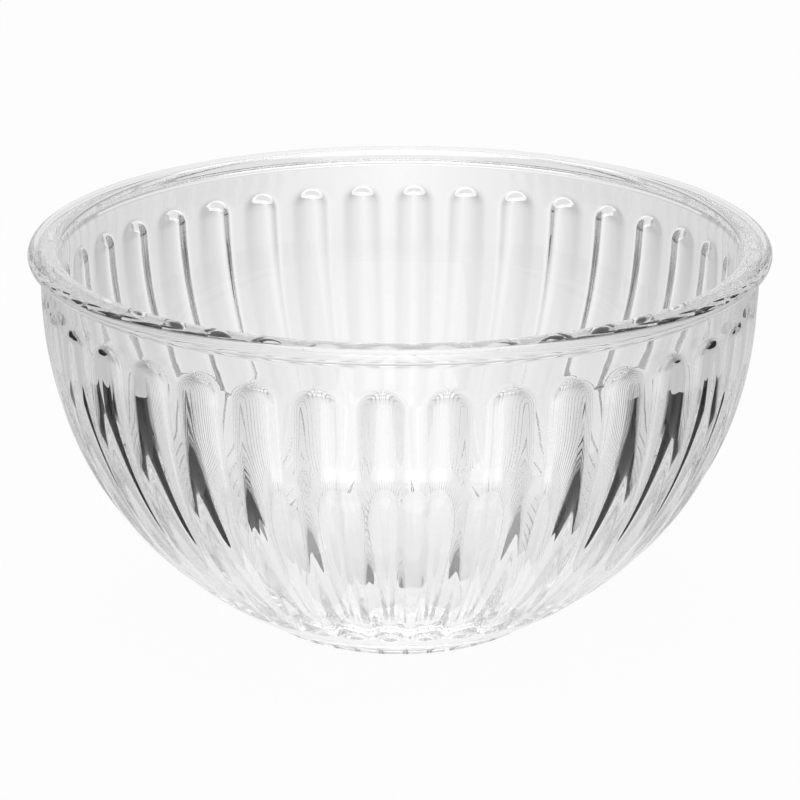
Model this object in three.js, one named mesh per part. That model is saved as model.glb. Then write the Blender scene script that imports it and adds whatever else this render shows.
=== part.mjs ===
// A fluted, pressed-glass bowl: one piece of clear glass that stands on a low round foot.
// Millimetres, +Z up. The origin is the centre of the foot's flat underside.
// The outside of the wall carries a ring of round-ended, concave flutes with plain lands between them,
// and the inside is smooth. A rolled rim stands out past the wall all round.

import * as THREE from 'three';

// Overall sizes
const RIM_DIAMETER = 230;
const BOWL_HEIGHT = 121.5;

// Rolled rim
const RIM_HEIGHT = 4.8;
const RIM_OVERHANG = 3.9;
const RIM_INNER_ROUND = 2.2;

// Wall and floor. The wall has an even thickness for a length below the rim and thickens from there on,
// and the inside ends in a round, flat floor.
const WALL_THICKNESS = 5.6;
const EVEN_WALL_LENGTH = 30;
const FLOOR_THICKNESS = 12;
const FLAT_FLOOR_DIAMETER = 64;

// The wall's curve: how it leaves the rim and how it meets the foot.
// A lean is measured from upright, a slope from level, and a reach is the length of a curve handle.
const WALL_TOP_LEAN_OUT = 2.6 * THREE.MathUtils.DEG2RAD;
const WALL_TOP_REACH = 56;
const WALL_END_SLOPE = 29 * THREE.MathUtils.DEG2RAD;
const WALL_END_REACH = 47.5;

// Foot
const FOOT_DIAMETER = 89.6;
const FOOT_HEIGHT = 1.6;
const FOOT_LEDGE = 1.4;
const FOOT_EDGE_ROUND = 0.5;

// Flutes: their depth, the width of their rounded edges and of the plain lands between them, at the top of
// the flutes and at their lower end, and the plain bands above and below them, measured along the wall
const FLUTE_COUNT = 38;
const FLUTE_TOP_DEPTH = 2.2;
const FLUTE_END_DEPTH = 1.4;
const EDGE_TOP_WIDTH = 2.4;
const EDGE_END_WIDTH = 1.6;
const LAND_TOP_WIDTH = 3.6;
const LAND_END_WIDTH = 1;
const RIM_BAND = 7;
const FOOT_BAND = 17.6;

// The curve of the inside between the even wall and the flat floor: the reach of its handle at each end
const CURVE_WALL_REACH = 30;
const CURVE_FLOOR_REACH = 30;

// How finely the round surfaces are divided
const PLAIN_COLUMNS_PER_FLUTE = 2;
const FLUTE_COLUMNS = [0, 0.4, 0.72, 1, -1, -0.72, -0.4];
const FLUTE_END_STEPS = 3;
const FLUTE_LENGTH_STEPS = 8;
const BAND_STEPS = 2;
const RIM_STEPS = 6;
const INNER_ROUND_STEPS = 2;
const INNER_WALL_STEPS = 2;
const INNER_CURVE_STEPS = 11;

// Sizes worked out from those above
const RIM_RADIUS = RIM_DIAMETER / 2;
const FOOT_RADIUS = FOOT_DIAMETER / 2;
const WALL_TOP_RADIUS = RIM_RADIUS - RIM_OVERHANG;
const INNER_RADIUS = WALL_TOP_RADIUS - WALL_THICKNESS;
const PITCH_ANGLE = (2 * Math.PI) / FLUTE_COUNT;

// The outside of the wall, down one side, from under the rim to the foot. x is the radius and y the height.
const wall = wallCurve();
const wallLength = wall.getLength();
const fluteTop = RIM_BAND;
const fluteEnd = wallLength - FOOT_BAND;

function wallCurve() {
  const top = new THREE.Vector2(WALL_TOP_RADIUS, BOWL_HEIGHT - RIM_HEIGHT);
  const end = new THREE.Vector2(FOOT_RADIUS + FOOT_LEDGE, FOOT_HEIGHT);
  const topHandle = new THREE.Vector2(Math.sin(WALL_TOP_LEAN_OUT), -Math.cos(WALL_TOP_LEAN_OUT));
  const endHandle = new THREE.Vector2(Math.cos(WALL_END_SLOPE), Math.sin(WALL_END_SLOPE));
  topHandle.multiplyScalar(WALL_TOP_REACH).add(top);
  endHandle.multiplyScalar(WALL_END_REACH).add(end);
  return new THREE.CubicBezierCurve(top, topHandle, endHandle, end);
}

// A point a given distance down the wall, moved inwards, square to the wall, by a depth
function wallPoint(distance, depth) {
  const share = distance / wallLength;
  const tangent = wall.getTangentAt(share);
  const inwards = new THREE.Vector2(tangent.y, -tangent.x);
  return wall.getPointAt(share).addScaledVector(inwards, depth);
}

// Points on an arc of the outline, both ends included
function arcPoints(centreRadius, centreHeight, radius, startDegrees, endDegrees, steps) {
  const points = [];
  for (let i = 0; i <= steps; i++) {
    const angle = THREE.MathUtils.lerp(startDegrees, endDegrees, i / steps) * THREE.MathUtils.DEG2RAD;
    const x = centreRadius + radius * Math.cos(angle);
    const y = centreHeight + radius * Math.sin(angle);
    points.push(new THREE.Vector2(x, y));
  }
  return points;
}

// One point of the skin, at an angle round the bowl
function skinPoint(outlinePoint, angle) {
  const position = new THREE.Vector3(
    outlinePoint.x * Math.cos(angle),
    outlinePoint.x * Math.sin(angle),
    outlinePoint.y,
  );
  return { angle, position };
}

// A ring with no flutes: every point has the same radius and height
function plainRing(outlinePoint) {
  const columns = FLUTE_COUNT * PLAIN_COLUMNS_PER_FLUTE;
  const ring = [];
  for (let i = 0; i < columns; i++) {
    ring.push(skinPoint(outlinePoint, (i * 2 * Math.PI) / columns));
  }
  return ring;
}

// A size of the flutes at a distance down the wall, between its values at their top and lower end
function alongFlute(topValue, endValue, distance) {
  return THREE.MathUtils.lerp(topValue, endValue, (distance - fluteTop) / (fluteEnd - fluteTop));
}

// Half the width of a full flute, its rounded edges included, at a distance down the wall
function fluteHalfWidth(distance) {
  const landWidth = alongFlute(LAND_TOP_WIDTH, LAND_END_WIDTH, distance);
  return (PITCH_ANGLE * wallPoint(distance, 0).x - landWidth) / 2;
}

// Depth of a flute at a distance out from its middle line. The slope rises evenly from the middle
// to the rounded edge and falls back to nothing across that edge.
function fluteDepth(out, halfWidth, edgeWidth, deepest) {
  const steepest = (2 * deepest) / halfWidth;
  const edgeStart = halfWidth - edgeWidth;
  if (out <= edgeStart) {
    return deepest - (steepest * out ** 2) / (2 * edgeStart);
  }
  return (steepest * Math.max(halfWidth - out, 0) ** 2) / (2 * edgeWidth);
}

// A ring through the flutes. In their round ends, beyond is how far the ring lies past the point
// that the end is rounded about, and everywhere else it is 0.
function flutedRing(distance, beyond) {
  const halfWidth = fluteHalfWidth(distance);
  const edgeWidth = alongFlute(EDGE_TOP_WIDTH, EDGE_END_WIDTH, distance);
  const deepest = alongFlute(FLUTE_TOP_DEPTH, FLUTE_END_DEPTH, distance);
  const cutHalfWidth = Math.sqrt(halfWidth ** 2 - beyond ** 2);
  const radius = wallPoint(distance, 0).x;
  const ring = [];
  for (let flute = 0; flute < FLUTE_COUNT; flute++) {
    for (const column of FLUTE_COLUMNS) {
      const onNextFlute = column < 0 ? 1 : 0;
      const across = column * cutHalfWidth;
      const angle = (flute + onNextFlute) * PITCH_ANGLE + across / radius;
      const depth = fluteDepth(Math.hypot(across, beyond), halfWidth, edgeWidth, deepest);
      ring.push(skinPoint(wallPoint(distance, depth), angle));
    }
  }
  return ring;
}

// The rings of one round end of the flutes, from its tip to where the flute is full.
// Towards is +1 at the top, where the flute runs on down the wall, and -1 at the bottom.
function fluteEndRings(tip, towards) {
  const endRadius = fluteHalfWidth(tip);
  const full = tip + towards * endRadius;
  const rings = [plainRing(wallPoint(tip, 0))];
  for (let i = 1; i <= FLUTE_END_STEPS; i++) {
    const turn = (i / FLUTE_END_STEPS) * (Math.PI / 2);
    const beyond = endRadius * Math.cos(turn);
    rings.push(flutedRing(full - towards * beyond, beyond));
  }
  return { rings, full };
}

// The foot's flat underside and its side
function footRings() {
  const roundCentre = FOOT_RADIUS - FOOT_EDGE_ROUND;
  const edge = arcPoints(roundCentre, FOOT_EDGE_ROUND, FOOT_EDGE_ROUND, -90, 0, INNER_ROUND_STEPS);
  return edge.map(plainRing);
}

// A stretch of plain wall between two distances, both included
function bandRings(from, to, steps) {
  const rings = [];
  for (let i = 0; i <= steps; i++) {
    rings.push(plainRing(wallPoint(THREE.MathUtils.lerp(from, to, i / steps), 0)));
  }
  return rings;
}

// The outside of the wall, from the foot up to the rim
function wallRings() {
  const topEnd = fluteEndRings(fluteTop, 1);
  const bottomEnd = fluteEndRings(fluteEnd, -1);
  const middle = [];
  for (let i = 1; i < FLUTE_LENGTH_STEPS; i++) {
    const distance = THREE.MathUtils.lerp(bottomEnd.full, topEnd.full, i / FLUTE_LENGTH_STEPS);
    middle.push(flutedRing(distance, 0));
  }
  return [
    ...bandRings(wallLength, fluteEnd, BAND_STEPS).slice(0, -1),
    ...bottomEnd.rings,
    ...middle,
    ...topEnd.rings.reverse(),
    plainRing(wallPoint(0, 0)),
  ];
}

// The rolled rim: a half-round outside, a flat top and a rounded inner edge
function rimRings() {
  const rollRadius = RIM_HEIGHT / 2;
  const roll = arcPoints(RIM_RADIUS - rollRadius, BOWL_HEIGHT - rollRadius, rollRadius, -90, 90, RIM_STEPS);
  const innerCentre = INNER_RADIUS + RIM_INNER_ROUND;
  const innerHeight = BOWL_HEIGHT - RIM_INNER_ROUND;
  const innerEdge = arcPoints(innerCentre, innerHeight, RIM_INNER_ROUND, 90, 180, INNER_ROUND_STEPS);
  return [...roll, ...innerEdge].map(plainRing);
}

// The smooth inside: an even wall part of the way down, then one soft curve to the edge of the flat floor
function insideRings() {
  const evenWall = [];
  for (let i = 1; i <= INNER_WALL_STEPS; i++) {
    evenWall.push(wallPoint((i / INNER_WALL_STEPS) * EVEN_WALL_LENGTH, WALL_THICKNESS));
  }
  const curveStart = evenWall.pop();
  const floorEdge = new THREE.Vector2(FLAT_FLOOR_DIAMETER / 2, FLOOR_THICKNESS);
  const wallHandle = wall.getTangentAt(EVEN_WALL_LENGTH / wallLength);
  wallHandle.multiplyScalar(CURVE_WALL_REACH).add(curveStart);
  const floorHandle = new THREE.Vector2(CURVE_FLOOR_REACH, 0).add(floorEdge);
  const curve = new THREE.CubicBezierCurve(curveStart, wallHandle, floorHandle, floorEdge);
  return [...evenWall, ...curve.getSpacedPoints(INNER_CURVE_STEPS)].map(plainRing);
}

// A closed skin through a list of rings, with a middle point at each end.
// Rings with unlike numbers of points are joined by always stepping along the one that lags behind.
function skinGeometry(startPoint, rings, endPoint) {
  const positions = [startPoint];
  const triangles = [];
  const firstIndex = [];
  for (const ring of rings) {
    firstIndex.push(positions.length);
    positions.push(...ring.map((point) => point.position));
  }
  const lastIndex = positions.length;
  positions.push(endPoint);

  const indexOf = (ringNumber, i) => firstIndex[ringNumber] + (i % rings[ringNumber].length);
  const angleOf = (ring, i) => ring[i % ring.length].angle + 2 * Math.PI * Math.floor(i / ring.length);

  rings[0].forEach((_, i) => triangles.push(0, indexOf(0, i + 1), indexOf(0, i)));
  for (let r = 0; r + 1 < rings.length; r++) {
    const lower = rings[r];
    const upper = rings[r + 1];
    let i = 0;
    let j = 0;
    while (i < lower.length || j < upper.length) {
      const lowerLags = j === upper.length || angleOf(lower, i + 1) <= angleOf(upper, j + 1);
      if (i < lower.length && lowerLags) {
        triangles.push(indexOf(r, i), indexOf(r, i + 1), indexOf(r + 1, j));
        i += 1;
      } else {
        triangles.push(indexOf(r, i), indexOf(r + 1, j + 1), indexOf(r + 1, j));
        j += 1;
      }
    }
  }
  const last = rings.length - 1;
  rings[last].forEach((_, i) => triangles.push(indexOf(last, i), indexOf(last, i + 1), lastIndex));

  const geometry = new THREE.BufferGeometry().setFromPoints(positions);
  geometry.setIndex(triangles);
  geometry.computeVertexNormals();
  return geometry;
}

function makeBowl() {
  const underside = new THREE.Vector3(0, 0, 0);
  const floorMiddle = new THREE.Vector3(0, 0, FLOOR_THICKNESS);
  const rings = [...footRings(), ...wallRings(), ...rimRings(), ...insideRings()];
  const glass = new THREE.MeshStandardMaterial({
    color: 0xf4f7f6,
    roughness: 0.03,
    metalness: 0,
    transparent: true,
    opacity: 0.35,
  });
  const bowl = new THREE.Mesh(skinGeometry(underside, rings, floorMiddle), glass);
  bowl.name = 'bowl';
  return bowl;
}

const glassBowl = new THREE.Group();
glassBowl.add(makeBowl());

export default glassBowl;
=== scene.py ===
# A fluted bowl of clear pressed glass on a white studio floor, seen from a little above.
# The glass is one smooth skin, finer than the CAD solid and with the same sizes.
# The frame is the CAD model's: metres, +Z up, the origin in the middle of the foot's underside.

import math

import bpy
import numpy as np
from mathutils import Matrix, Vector


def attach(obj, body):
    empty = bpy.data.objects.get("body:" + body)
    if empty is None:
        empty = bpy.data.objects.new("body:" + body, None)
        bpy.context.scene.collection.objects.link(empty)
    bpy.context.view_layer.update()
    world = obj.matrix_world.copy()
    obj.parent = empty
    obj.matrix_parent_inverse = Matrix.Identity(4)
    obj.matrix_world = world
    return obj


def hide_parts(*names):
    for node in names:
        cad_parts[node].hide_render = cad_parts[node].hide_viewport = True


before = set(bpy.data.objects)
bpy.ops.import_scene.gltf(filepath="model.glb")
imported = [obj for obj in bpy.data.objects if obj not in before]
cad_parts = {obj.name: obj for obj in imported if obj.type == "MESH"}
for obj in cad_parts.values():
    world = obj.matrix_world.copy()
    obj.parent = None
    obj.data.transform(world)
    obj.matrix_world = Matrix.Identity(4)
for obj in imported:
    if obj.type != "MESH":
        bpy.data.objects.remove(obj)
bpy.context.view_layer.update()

MM = 0.001

# The bowl's sizes in millimetres, as in the CAD model
RIM_DIAMETER = 230
BOWL_HEIGHT = 121.5
RIM_HEIGHT = 4.8
RIM_OVERHANG = 3.9
RIM_INNER_ROUND = 2.2
WALL_THICKNESS = 5.6
EVEN_WALL_LENGTH = 30
FLOOR_THICKNESS = 12
FLAT_FLOOR_DIAMETER = 64
WALL_TOP_LEAN_OUT = math.radians(2.6)
WALL_TOP_REACH = 56
WALL_END_SLOPE = math.radians(29)
WALL_END_REACH = 47.5
FOOT_DIAMETER = 89.6
FOOT_HEIGHT = 1.6
FOOT_LEDGE = 1.4
FOOT_EDGE_ROUND = 0.5
FLUTE_COUNT = 38
FLUTE_TOP_DEPTH = 2.2
FLUTE_END_DEPTH = 1.4
EDGE_TOP_WIDTH = 2.4
EDGE_END_WIDTH = 1.6
LAND_TOP_WIDTH = 3.6
LAND_END_WIDTH = 1
RIM_BAND = 7
FOOT_BAND = 17.6
CURVE_WALL_REACH = 30
CURVE_FLOOR_REACH = 30

# How finely the skin is divided
HOLLOW_COLUMNS = 5
EDGE_COLUMNS = 3
LAND_COLUMNS = 1
COARSE_EVERY = 3
STRAIGHT_STEPS = 44
CAP_STEPS = 18
BAND_STEPS = 4
FOOT_BAND_STEPS = 10
FOOT_EDGE_STEPS = 5
RIM_STEPS = 16
INNER_ROUND_STEPS = 8
INNER_WALL_STEPS = 20
INNER_CURVE_STEPS = 50
UNDERSIDE_STEPS = 6
CURVE_SAMPLES = 4001

# The camera: metres, degrees and, for the lens, millimetres. The studio faces the camera, so both are
# turned about the bowl's axis.
CAMERA_DISTANCE = 0.9663
CAMERA_HEIGHT = 0.3997
CAMERA_ROUND = -2.14
CAMERA_DOWN = 18.95
CAMERA_LENS = 145.665

# The glass. Its ripples are in metres.
GLASS_COLOUR = (1, 1, 1)
GLASS_IOR = 1.52
GLASS_ROUGHNESS = 0
RIPPLES_PER_METRE = 60
RIPPLE_HEIGHT = 0.00006
RIPPLE_DETAIL = 1

# The most bounces of a ray of light: in all, by reflection and through glass
MOST_BOUNCES = 32
MOST_REFLECTIONS = 24
MOST_TRANSMISSIONS = 24

# The floor, metres. For a share of what the camera and the glass see of it, a glow takes the place of
# its lit surface. For the glass the glow is a painted pool of light, palest in the middle and fading to
# painted shade at the sides.
FLOOR_SIZE = 8
FLOOR_GAP = 0.0003
FLOOR_COLOUR = 0.92
MATT_ROUGHNESS = 0.9
GLOW_SHARE_TO_EYE = 0.95
GLOW_SHARE_IN_GLASS = 1
# What the glass sees of the floor: a painted pool of light, its grey in the middle and at the sides
GLOW_IN_GLASS_MIDDLE = 0.957
GLOW_IN_GLASS_SIDES = 0.545
GLOW_HALF_WIDTH = 0.25

# The sheets that only the glass shows, metres: two black sheets of painted shade on the floor beside
# the bowl and a grey sheet of painted shadow in front of its foot, where the eye sees white floor, and
# two black panels that stand far out. Places are to the camera's right and away from the camera.
BLACK_COLOUR = 0.01
# The grey of the painted shadow in front of the foot
PAINTED_SHADOW_GREY = 0.55
SHADE_SHEET_LIFT = 0.001
# Painted shade: the outline of the black sheet on the floor beside the bowl, seen only by the glass
PAINTED_SHADE_CORNERS = [(0.065, -0.13), (0.065, -0.06), (0.175, 0.08), (0.27, 0.07), (0.27, -0.13)]
# Painted shadow: the outline of the grey sheet on the floor in front of the foot, seen only by the glass
PAINTED_SHADOW_CORNERS = [(-0.065, -0.11), (0.065, -0.11), (0.065, -0.073), (-0.065, -0.073)]
PANEL_X = 1
PANEL_HEIGHT = 0.4
PANEL_ENDS_Y = (-1.2, 0.9)

# The lights, metres. A softbox's power is its level times pi times its area.
SKY_LEVEL = 0.42
OVERHEAD_Y = 0
OVERHEAD_HEIGHT = 0.7
OVERHEAD_WIDTH = 0.5
OVERHEAD_DEPTH = 0.9
OVERHEAD_LEVEL = 1.5
BACK_Y = 1.25
BACK_MIDDLE = 0.25
BACK_WIDTH = 0.7
BACK_HEIGHT = 0.5
BACK_LEVEL = 0.4
FRONT_Y = -1.6
FRONT_MIDDLE = 1
FRONT_WIDTH = 1.6
FRONT_HEIGHT = 1.2
FRONT_LEVEL = 0.6

RIM_RADIUS = RIM_DIAMETER / 2
FOOT_RADIUS = FOOT_DIAMETER / 2
WALL_TOP_RADIUS = RIM_RADIUS - RIM_OVERHANG
INNER_RADIUS = WALL_TOP_RADIUS - WALL_THICKNESS
PITCH_ANGLE = 2 * math.pi / FLUTE_COUNT


def bezier(p0, p1, p2, p3, t):
    """Points on a cubic curve in the outline plane, radius and height."""
    t = np.asarray(t)[:, None]
    return (1 - t)**3 * p0 + 3 * (1 - t)**2 * t * p1 + 3 * (1 - t) * t**2 * p2 + t**3 * p3


class Wall:
    """The outside of the wall down one side, from under the rim to the foot, by distance along it."""

    def __init__(self):
        top = np.array([WALL_TOP_RADIUS, BOWL_HEIGHT - RIM_HEIGHT])
        end = np.array([FOOT_RADIUS + FOOT_LEDGE, FOOT_HEIGHT])
        top_way = np.array([math.sin(WALL_TOP_LEAN_OUT), -math.cos(WALL_TOP_LEAN_OUT)])
        end_way = np.array([math.cos(WALL_END_SLOPE), math.sin(WALL_END_SLOPE)])
        share = np.linspace(0, 1, CURVE_SAMPLES)
        top_handle = top + WALL_TOP_REACH * top_way
        end_handle = end + WALL_END_REACH * end_way
        self.points = bezier(top, top_handle, end_handle, end, share)
        steps = np.linalg.norm(np.diff(self.points, axis=0), axis=1)
        self.distance = np.concatenate([[0], np.cumsum(steps)])
        self.tangents = np.gradient(self.points, self.distance, axis=0)
        self.length = self.distance[-1]

    def at(self, table, distance):
        """The two columns of a table along the wall, read at a distance down it."""
        return [np.interp(distance, self.distance, table[:, i]) for i in (0, 1)]

    def radius(self, distance):
        return self.at(self.points, distance)[0]

    def point(self, distance, depth=0.0):
        """Radius and height at a distance down the wall, moved into the glass by a depth."""
        radius, height = self.at(self.points, distance)
        along_radius, along_height = self.at(self.tangents, distance)
        return radius + along_height * depth, height - along_radius * depth


wall = Wall()
flute_top = RIM_BAND
flute_end = wall.length - FOOT_BAND


def along_flute(top_value, end_value, distance):
    """A size of the flutes at a distance down the wall."""
    share = np.clip((distance - flute_top) / (flute_end - flute_top), 0, 1)
    return top_value + (end_value - top_value) * share


def flute_half_width(distance):
    """Half the width of a full flute, its rounded edges included."""
    held = np.clip(distance, flute_top, flute_end)
    land = along_flute(LAND_TOP_WIDTH, LAND_END_WIDTH, held)
    return (PITCH_ANGLE * wall.radius(held) - land) / 2


def flute_depth(out, half_width, edge_width, deepest):
    """Depth at a distance out from the flute's middle line: a curved hollow, then a rounded edge."""
    steepest = 2 * deepest / half_width
    edge_start = half_width - edge_width
    hollow = deepest - steepest * out**2 / (2 * edge_start)
    edge = steepest * np.maximum(half_width - out, 0)**2 / (2 * edge_width)
    return np.where(out <= edge_start, hollow, edge)


def flute_columns(distance):
    """Distances of one pitch's columns from the flute's middle line, from half a pitch before it."""
    half_width = flute_half_width(distance)
    edge_start = half_width - along_flute(EDGE_TOP_WIDTH, EDGE_END_WIDTH, distance)
    half_pitch = PITCH_ANGLE * wall.radius(distance) / 2
    half = np.concatenate([
        np.linspace(0, edge_start, HOLLOW_COLUMNS + 1)[:-1],
        np.linspace(edge_start, half_width, EDGE_COLUMNS + 1)[:-1],
        np.linspace(half_width, half_pitch, LAND_COLUMNS + 1),
    ])
    return np.concatenate([-half[:0:-1], half[:-1]])


def fluted_ring(distance):
    """Angle, radius and height of the skin's points at a distance down the wall."""
    across = flute_columns(distance)
    half_width = flute_half_width(distance)
    edge_width = along_flute(EDGE_TOP_WIDTH, EDGE_END_WIDTH, distance)
    deepest = along_flute(FLUTE_TOP_DEPTH, FLUTE_END_DEPTH, distance)
    above = flute_top + flute_half_width(flute_top) - distance
    below = distance - (flute_end - flute_half_width(flute_end))
    beyond = max(above, below, 0)
    depth = flute_depth(np.hypot(across, beyond), half_width, edge_width, deepest)
    radius, height = wall.point(distance, depth)
    turns = np.arange(FLUTE_COUNT) * PITCH_ANGLE
    angle = (turns[:, None] + across / wall.radius(distance)).ravel()
    return angle, np.tile(radius, FLUTE_COUNT), np.tile(height, FLUTE_COUNT)


def arc_points(centre_radius, centre_height, arc_radius, start_degrees, end_degrees, steps):
    """Points of a round edge in the outline plane, radius and height."""
    angles = np.radians(np.linspace(start_degrees, end_degrees, steps + 1))
    radii = centre_radius + arc_radius * np.cos(angles)
    heights = centre_height + arc_radius * np.sin(angles)
    return list(zip(radii, heights))


def wall_distances():
    """Distances down the wall of the rings outside, from the foot up to the rim."""
    top_full = flute_top + flute_half_width(flute_top)
    end_full = flute_end - flute_half_width(flute_end)
    return np.concatenate([
        np.linspace(wall.length, flute_end, FOOT_BAND_STEPS + 1)[:-1],
        np.linspace(flute_end, end_full, CAP_STEPS + 1)[:-1],
        np.linspace(end_full, top_full, STRAIGHT_STEPS + 1)[:-1],
        np.linspace(top_full, flute_top, CAP_STEPS + 1)[:-1],
        np.linspace(flute_top, 0, BAND_STEPS + 1),
    ])


def inside_points():
    """The smooth inside's outline: an even wall part of the way, then one curve to the flat floor."""
    share = np.linspace(0, 1, INNER_WALL_STEPS + 1)[1:]
    upper = np.stack(wall.point(EVEN_WALL_LENGTH * share, WALL_THICKNESS), axis=1)
    curve_start = upper[-1]
    floor_edge = np.array([FLAT_FLOOR_DIAMETER / 2, FLOOR_THICKNESS])
    way = (upper[-1] - upper[-2]) / np.linalg.norm(upper[-1] - upper[-2])
    wall_handle = curve_start + CURVE_WALL_REACH * way
    floor_handle = floor_edge + [CURVE_FLOOR_REACH, 0]
    share = np.linspace(0, 1, INNER_CURVE_STEPS + 1)[1:]
    lower = bezier(curve_start, wall_handle, floor_handle, floor_edge, share)
    return [tuple(p) for p in np.concatenate([upper, lower])]


class Skin:
    """Collects rings of points and joins each to the one before it."""

    def __init__(self, start_height):
        self.vertices = [np.array([[0, 0, start_height]])]
        self.count = 1
        self.faces = []
        self.last = None

    def add(self, angle, radius, height):
        heights = np.broadcast_to(height, angle.shape)
        points = np.stack([radius * np.cos(angle), radius * np.sin(angle), heights], axis=1)
        ring = list(range(self.count, self.count + len(points)))
        self.vertices.append(points)
        self.count += len(points)
        if self.last is None:
            self.fan(ring, 0, False)
        else:
            self.join(self.last, ring)
        self.last = ring

    def add_plain(self, outline, angle):
        for radius, height in outline:
            self.add(angle, radius, height)

    def fan(self, ring, middle, upwards):
        for i, here in enumerate(ring):
            following = ring[(i + 1) % len(ring)]
            self.faces.append((here, following, middle) if upwards else (middle, following, here))

    def join(self, lower, upper):
        """Faces between two rings. One ring may have only every so many of the other's columns."""
        lower_run = max(1, len(lower) // len(upper))
        upper_run = max(1, len(upper) // len(lower))
        for i in range(min(len(lower), len(upper))):
            low = [lower[(i * lower_run + k) % len(lower)] for k in range(lower_run + 1)]
            high = [upper[(i * upper_run + k) % len(upper)] for k in range(upper_run + 1)]
            self.faces.append(tuple(low + high[::-1]))

    def close(self, height):
        self.vertices.append(np.array([[0, 0, height]]))
        self.fan(self.last, self.count, True)
        self.count += 1


def bowl_skin():
    """The whole skin of the glass: underside, foot, fluted wall, rim and inside."""
    rings = [fluted_ring(d) for d in wall_distances()]
    fine_base = rings[0][0]
    fine_top = rings[-1][0]
    edge = FOOT_EDGE_ROUND
    foot_edge = arc_points(FOOT_RADIUS - edge, edge, edge, -90, 0, FOOT_EDGE_STEPS)
    underside = [(r, 0) for r in np.linspace(0, FOOT_RADIUS - 2 * edge, UNDERSIDE_STEPS + 1)[1:]]
    roll = RIM_HEIGHT / 2
    rim = arc_points(RIM_RADIUS - roll, BOWL_HEIGHT - roll, roll, -90, 90, RIM_STEPS)
    inner = RIM_INNER_ROUND
    inner_edge = arc_points(INNER_RADIUS + inner, BOWL_HEIGHT - inner, inner, 90, 180, INNER_ROUND_STEPS)

    skin = Skin(0)
    skin.add_plain(underside, fine_base[::COARSE_EVERY])
    skin.add_plain(foot_edge, fine_base)
    for ring in rings:
        skin.add(*ring)
    skin.add_plain(rim, fine_top)
    skin.add_plain(inner_edge + inside_points(), fine_top[::COARSE_EVERY])
    skin.close(FLOOR_THICKNESS)
    return np.concatenate(skin.vertices) * MM, skin.faces


def add_object(name, vertices, faces, material):
    mesh = bpy.data.meshes.new(name)
    mesh.from_pydata([tuple(v) for v in vertices], [], faces)
    mesh.materials.append(material)
    thing = bpy.data.objects.new(name, mesh)
    bpy.context.scene.collection.objects.link(thing)
    return thing


def principled(name, colour, roughness):
    material = bpy.data.materials.new(name)
    material.use_nodes = True
    shader = material.node_tree.nodes["Principled BSDF"]
    shader.inputs["Base Color"].default_value = (*colour, 1)
    shader.inputs["Roughness"].default_value = roughness
    return material, shader


def add_ripples(material, shader):
    """The faint waviness that pressing leaves in a glass surface."""
    nodes = material.node_tree.nodes
    links = material.node_tree.links
    coordinates = nodes.new("ShaderNodeTexCoord")
    noise = nodes.new("ShaderNodeTexNoise")
    noise.inputs["Scale"].default_value = RIPPLES_PER_METRE
    noise.inputs["Detail"].default_value = RIPPLE_DETAIL
    bump = nodes.new("ShaderNodeBump")
    bump.inputs["Strength"].default_value = 1
    bump.inputs["Distance"].default_value = RIPPLE_HEIGHT
    links.new(coordinates.outputs["Object"], noise.inputs["Vector"])
    links.new(noise.outputs["Fac"], bump.inputs["Height"])
    links.new(bump.outputs["Normal"], shader.inputs["Normal"])


def glass_material():
    material, shader = principled("clear_glass", GLASS_COLOUR, GLASS_ROUGHNESS)
    shader.inputs["Transmission Weight"].default_value = 1
    shader.inputs["IOR"].default_value = GLASS_IOR
    add_ripples(material, shader)
    return material


def painted_light_pool(nodes, links):
    """A painted pool of light: a pale grey, palest on the line through the camera and the bowl, that
    fades to painted shade at both sides.
    """
    coordinates = nodes.new("ShaderNodeTexCoord")
    mapping = nodes.new("ShaderNodeMapping")
    mapping.vector_type = "TEXTURE"
    mapping.inputs["Rotation"].default_value = (0, 0, math.radians(CAMERA_ROUND))
    parts = nodes.new("ShaderNodeSeparateXYZ")
    aside = nodes.new("ShaderNodeMath")
    aside.operation = "ABSOLUTE"
    fade = nodes.new("ShaderNodeMapRange")
    fade.inputs["From Max"].default_value = GLOW_HALF_WIDTH
    fade.inputs["To Min"].default_value = GLOW_IN_GLASS_MIDDLE
    fade.inputs["To Max"].default_value = GLOW_IN_GLASS_SIDES
    links.new(coordinates.outputs["Object"], mapping.inputs["Vector"])
    links.new(mapping.outputs["Vector"], parts.inputs["Vector"])
    links.new(parts.outputs["X"], aside.inputs[0])
    links.new(aside.outputs[0], fade.inputs["Value"])
    return fade.outputs["Result"]


def mix_by_ray(nodes, links, rays, share, shader, glow):
    """Blends a share of a glow into a shader for a ray of any of the named kinds."""
    path = nodes.new("ShaderNodeLightPath")
    any_kind = nodes.new("ShaderNodeMath")
    any_kind.operation = "MAXIMUM"
    any_kind.inputs[1].default_value = 0
    for socket, ray in zip(any_kind.inputs, rays):
        links.new(path.outputs[ray], socket)
    amount = nodes.new("ShaderNodeMath")
    amount.operation = "MULTIPLY"
    amount.inputs[1].default_value = share
    links.new(any_kind.outputs[0], amount.inputs[0])
    mix = nodes.new("ShaderNodeMixShader")
    links.new(amount.outputs[0], mix.inputs["Fac"])
    links.new(shader, mix.inputs[1])
    links.new(glow.outputs["Emission"], mix.inputs[2])
    return mix.outputs["Shader"]


def matt_material(name, grey):
    material, shader = principled(name, (grey, grey, grey), MATT_ROUGHNESS)
    shader.inputs["Specular IOR Level"].default_value = 0
    return material


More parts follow.
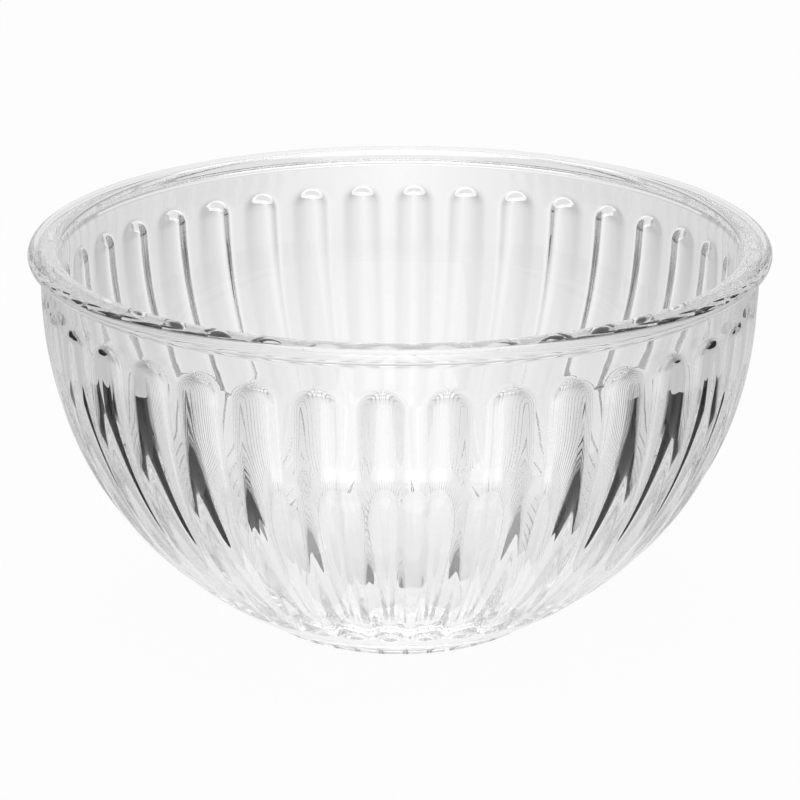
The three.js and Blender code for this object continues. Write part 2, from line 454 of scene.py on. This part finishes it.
def floor_material():
    """Matt white. The eye sees it almost evenly white, and the glass sees a painted pool of light fading
    to painted shade at the sides.
    """
    material = matt_material("white_floor", FLOOR_COLOUR)
    nodes = material.node_tree.nodes
    links = material.node_tree.links
    matt = nodes["Principled BSDF"].outputs["BSDF"]
    painted_pool_glow = nodes.new("ShaderNodeEmission")
    links.new(painted_light_pool(nodes, links), painted_pool_glow.inputs["Color"])
    white_glow = nodes.new("ShaderNodeEmission")
    white_glow.inputs["Color"].default_value = (1, 1, 1, 1)
    glass_rays = ("Is Glossy Ray", "Is Transmission Ray")
    surface = mix_by_ray(nodes, links, glass_rays, GLOW_SHARE_IN_GLASS, matt, painted_pool_glow)
    surface = mix_by_ray(nodes, links, ("Is Camera Ray",), GLOW_SHARE_TO_EYE, surface, white_glow)
    links.new(surface, nodes["Material Output"].inputs["Surface"])
    return material


def add_bowl():
    vertices, faces = bowl_skin()
    bowl = add_object("bowl_glass", vertices, faces, glass_material())
    bowl.data.shade_smooth()
    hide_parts("bowl")
    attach(bowl, "root")


def studio_place(x, y, z):
    """A place by how far it is to the camera's right, away from the camera and up from the floor."""
    turn = math.radians(CAMERA_ROUND)
    return Vector((x * math.cos(turn) - y * math.sin(turn), x * math.sin(turn) + y * math.cos(turn), z))


def add_glass_only_sheet(name, corners, material):
    """A black or grey sheet that only the glass shows, for the dark lines in it: painted shade or
    painted shadow on the floor, or a black flag far out.
    """
    places = [studio_place(*corner) for corner in corners]
    flag = add_object(name, places, [range(len(places))], material)
    flag.visible_camera = False
    flag.visible_diffuse = False
    flag.visible_shadow = False


# A sheet of painted shade or painted shadow, lying on the floor
def lying_shade_sheet(corners, way):
    return [(way * x, y, SHADE_SHEET_LIFT) for x, y in corners]


def standing_flag(way):
    near, far = PANEL_ENDS_Y
    outline = [(near, 0), (far, 0), (far, PANEL_HEIGHT), (near, PANEL_HEIGHT)]
    return [(way * PANEL_X, y, z) for y, z in outline]


def add_studio():
    half = FLOOR_SIZE / 2
    outline = [(-half, -half), (half, -half), (half, half), (-half, half)]
    corners = [(x, y, -FLOOR_GAP) for x, y in outline]
    floor = add_object("floor", corners, [range(len(corners))], floor_material())
    # A grey sheet of painted shadow in front of the foot, where the eye sees white floor
    grey = matt_material("grey_card", PAINTED_SHADOW_GREY)
    add_glass_only_sheet("front_card", lying_shade_sheet(PAINTED_SHADOW_CORNERS, 1), grey)
    # Black for the sheets of painted shade beside the bowl and for the flags far out
    black = matt_material("black_card", BLACK_COLOUR)
    for side_name, way in (("left", -1), ("right", 1)):
        add_glass_only_sheet(side_name + "_card", lying_shade_sheet(PAINTED_SHADE_CORNERS, way), black)
        add_glass_only_sheet(side_name + "_panel", standing_flag(way), black)


def add_softbox(name, place, target, width, height, level):
    """A rectangular soft light that faces a target. Its power follows from its level and its size."""
    light = bpy.data.lights.new(name, "AREA")
    light.shape = "RECTANGLE"
    light.size = width
    light.size_y = height
    light.energy = level * math.pi * width * height
    lamp = bpy.data.objects.new(name, light)
    lamp.location = studio_place(*place)
    facing = studio_place(*target) - lamp.location
    lamp.rotation_euler = facing.to_track_quat("-Z", "Y").to_euler()
    bpy.context.scene.collection.objects.link(lamp)


def add_lights():
    overhead = (0, OVERHEAD_Y, OVERHEAD_HEIGHT)
    below = (0, OVERHEAD_Y, 0)
    add_softbox("overhead", overhead, below, OVERHEAD_WIDTH, OVERHEAD_DEPTH, OVERHEAD_LEVEL)
    behind = (0, BACK_Y, BACK_MIDDLE)
    add_softbox("behind", behind, (0, 0, BACK_MIDDLE), BACK_WIDTH, BACK_HEIGHT, BACK_LEVEL)
    front = (0, FRONT_Y, FRONT_MIDDLE)
    add_softbox("front", front, (0, 0, 0), FRONT_WIDTH, FRONT_HEIGHT, FRONT_LEVEL)
    world = bpy.data.worlds.new("studio")
    world.use_nodes = True
    sky = world.node_tree.nodes["Background"]
    sky.inputs["Color"].default_value = (SKY_LEVEL, SKY_LEVEL, SKY_LEVEL, 1)
    bpy.context.scene.world = world


def add_camera():
    camera = bpy.data.objects.new("camera", bpy.data.cameras.new("camera"))
    camera.location = studio_place(0, -CAMERA_DISTANCE, CAMERA_HEIGHT)
    camera.rotation_euler = (math.radians(90 - CAMERA_DOWN), 0, math.radians(CAMERA_ROUND))
    camera.data.lens = CAMERA_LENS
    bpy.context.scene.collection.objects.link(camera)
    bpy.context.scene.camera = camera


def set_view():
    """Plain colours, and enough bounces for light to find its way through the glass."""
    scene = bpy.context.scene
    scene.view_settings.view_transform = "Standard"
    scene.cycles.max_bounces = MOST_BOUNCES
    scene.cycles.glossy_bounces = MOST_REFLECTIONS
    scene.cycles.transmission_bounces = MOST_TRANSMISSIONS


add_camera()
add_bowl()
add_studio()
add_lights()
set_view()
